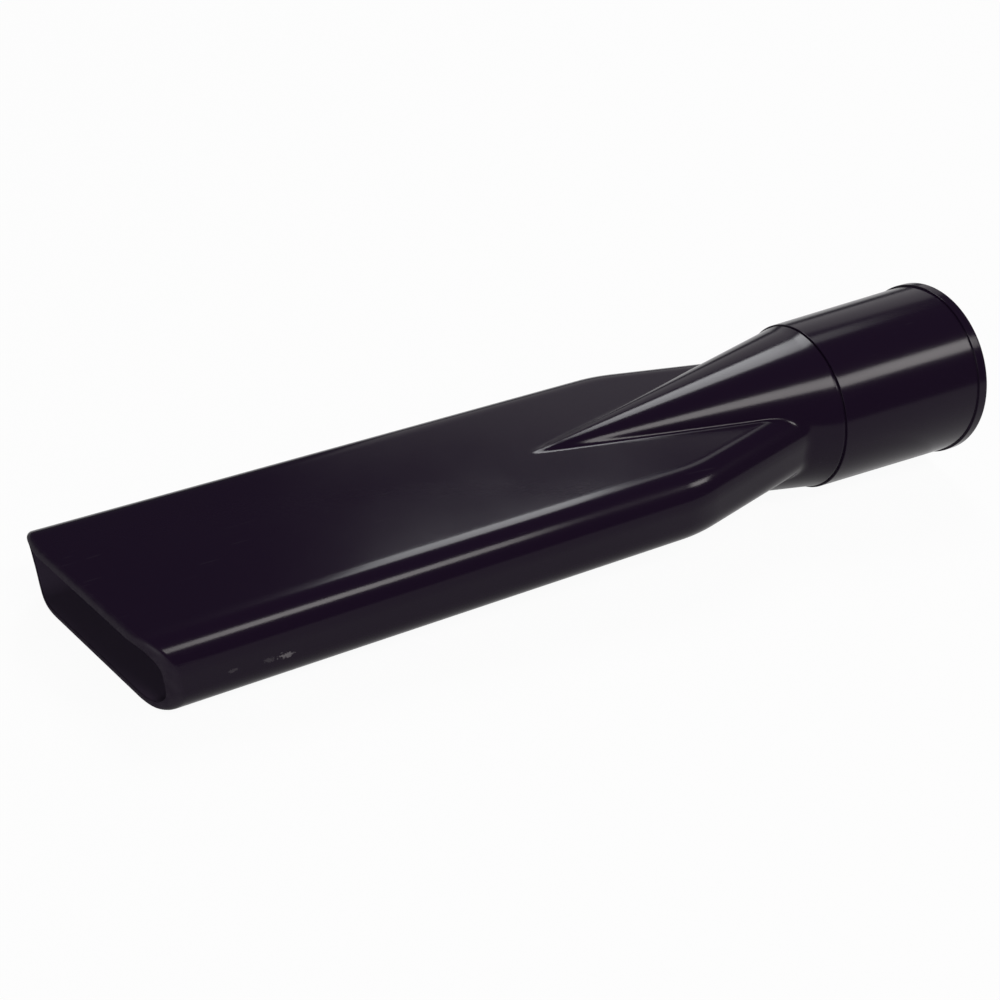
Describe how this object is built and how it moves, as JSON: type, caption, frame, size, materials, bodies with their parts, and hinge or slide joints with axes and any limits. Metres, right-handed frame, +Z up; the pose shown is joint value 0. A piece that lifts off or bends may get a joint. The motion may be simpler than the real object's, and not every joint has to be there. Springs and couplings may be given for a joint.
{
  "type": "vacuum crevice tool",
  "caption": "Flat crevice nozzle for a vacuum cleaner: a round hose socket that narrows through two oblique cones into a wide flat duct with a slanted mouth.",
  "frame": {"origin": "middle of the bounding box, on the surface that the tool lies on", "axes": "+X from the mouth to the open end of the socket, +Y towards the leading end of the slanted mouth, +Z up"},
  "size_m": [0.2276, 0.0554, 0.0462],
  "materials": {
    "black_plastic": "moulded satin black, lightly scuffed"
  },
  "bodies": {
    "root": {"crevice_tool": "black_plastic"}
  },
  "joints": []
}
